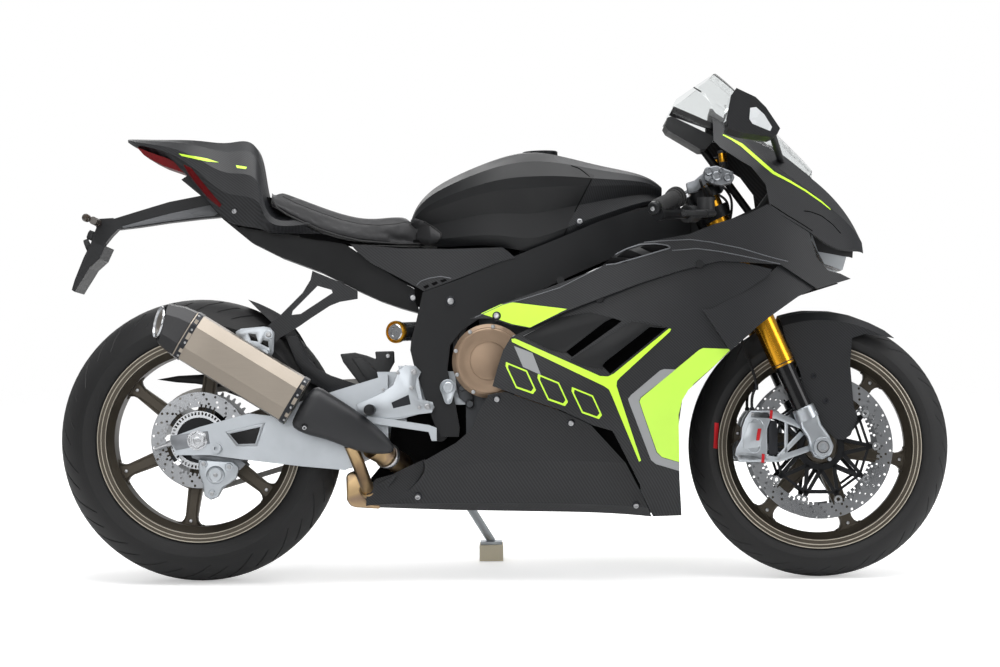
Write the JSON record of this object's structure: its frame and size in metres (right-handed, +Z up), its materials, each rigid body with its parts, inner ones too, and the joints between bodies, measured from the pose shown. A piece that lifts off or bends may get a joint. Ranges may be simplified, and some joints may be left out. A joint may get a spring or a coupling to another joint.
{
  "type": "sport motorcycle with full fairing leaning on its side stand",
  "caption": "Full-fairing sport motorcycle parked on its side stand, with turning wheels, steering and a folding stand.",
  "frame": {"origin": "on the floor midway between the two wheel centres, in the line of the tyres' contact", "axes": "+X to the front wheel, +Y to the rider's left, +Z up; the motorcycle leans to its left"},
  "size_m": [2.0427, 0.8067, 1.1574],
  "materials": {
    "tyre": "moulded rubber",
    "rim_paint": "satin bronze grey",
    "disc_steel": "ground",
    "black_metal": "satin black",
    "dark_frame": "satin dark grey",
    "silver": "satin anodised",
    "gold": "gold anodised",
    "bronze": "bronze satin",
    "steel": "oiled",
    "titanium": "brushed",
    "carbon": "matte twill weave",
    "seat_cover": "grained",
    "rubber": "ribbed",
    "clear": "clear",
    "red_lens": "moulded",
    "plain_plastic": "moulded",
    "cream": "painted"
  },
  "bodies": {
    "root": {"airbox_cover": "carbon", "belly_pan": "carbon", "chain": "steel", "dash": "plain_plastic", "engine": "dark_frame", "engine_covers": "bronze", "exhaust_pipe": "black_metal", "fairing_mid": "carbon", "fairing_stays": "dark_frame", "fairing_upper": "carbon", "frame": "dark_frame", "fuel_cap": "plain_plastic", "fuel_tank": "carbon", "headlamps": "clear", "mirrors": "carbon", "muffler": "titanium", "muffler_bracket": "silver", "muffler_ends": "carbon", "muffler_hanger": "carbon", "nose_cowl": "carbon", "plate_hanger": "carbon", "radiator": "dark_frame", "rear_axle": "black_metal", "rear_caliper": "black_metal", "rear_hugger": "carbon", "rear_indicators": "plain_plastic", "rearsets": "silver", "seat": "seat_cover", "shock": "black_metal", "side_covers": "carbon", "spool_bosses": "silver", "stand_block": "cream", "subframe": "dark_frame", "swingarm": "silver", "tail_cowl": "carbon", "tail_lamp": "red_lens", "windscreen": "clear", "wing_ducts": "carbon"},
    "steering": {"fork_tubes": "gold", "fork_legs": "black_metal", "yokes": "black_metal", "handlebars": "black_metal", "grips": "rubber", "bar_controls": "black_metal", "front_calipers": "silver", "front_fender": "carbon", "front_axle": "black_metal"},
    "front_wheel": {"front_tyre": "tyre", "front_rim": "rim_paint", "front_discs": "disc_steel", "front_carriers": "black_metal"},
    "rear_wheel": {"rear_tyre": "tyre", "rear_rim": "rim_paint", "rear_disc": "disc_steel", "rear_carrier": "black_metal", "rear_sprocket": "steel"},
    "side_stand": {"side_stand": "silver"}
  },
  "joints": [
    {"name": "steering_turn", "type": "hinge", "parent": "root", "child": "steering", "pos_m": [0.68141, 0.02744, 0.28544], "axis": [-0.4067, 0.0876, 0.9093], "range_deg": [-25, 25]},
    {"name": "front_wheel_spin", "type": "hinge", "parent": "steering", "child": "front_wheel", "pos_m": [0.71, 0.02866, 0.29812], "axis": [0, 0.9954, -0.0958], "continuous": true},
    {"name": "rear_wheel_spin", "type": "hinge", "parent": "root", "child": "rear_wheel", "pos_m": [-0.71, 0.03105, 0.323], "axis": [0, 0.9954, -0.0958], "continuous": true},
    {"name": "side_stand_fold", "type": "hinge", "parent": "root", "child": "side_stand", "pos_m": [-0.15, 0.14839, 0.23736], "axis": [0.2248, 0.6711, 0.7064], "range_deg": [0, 103.1]}
  ]
}
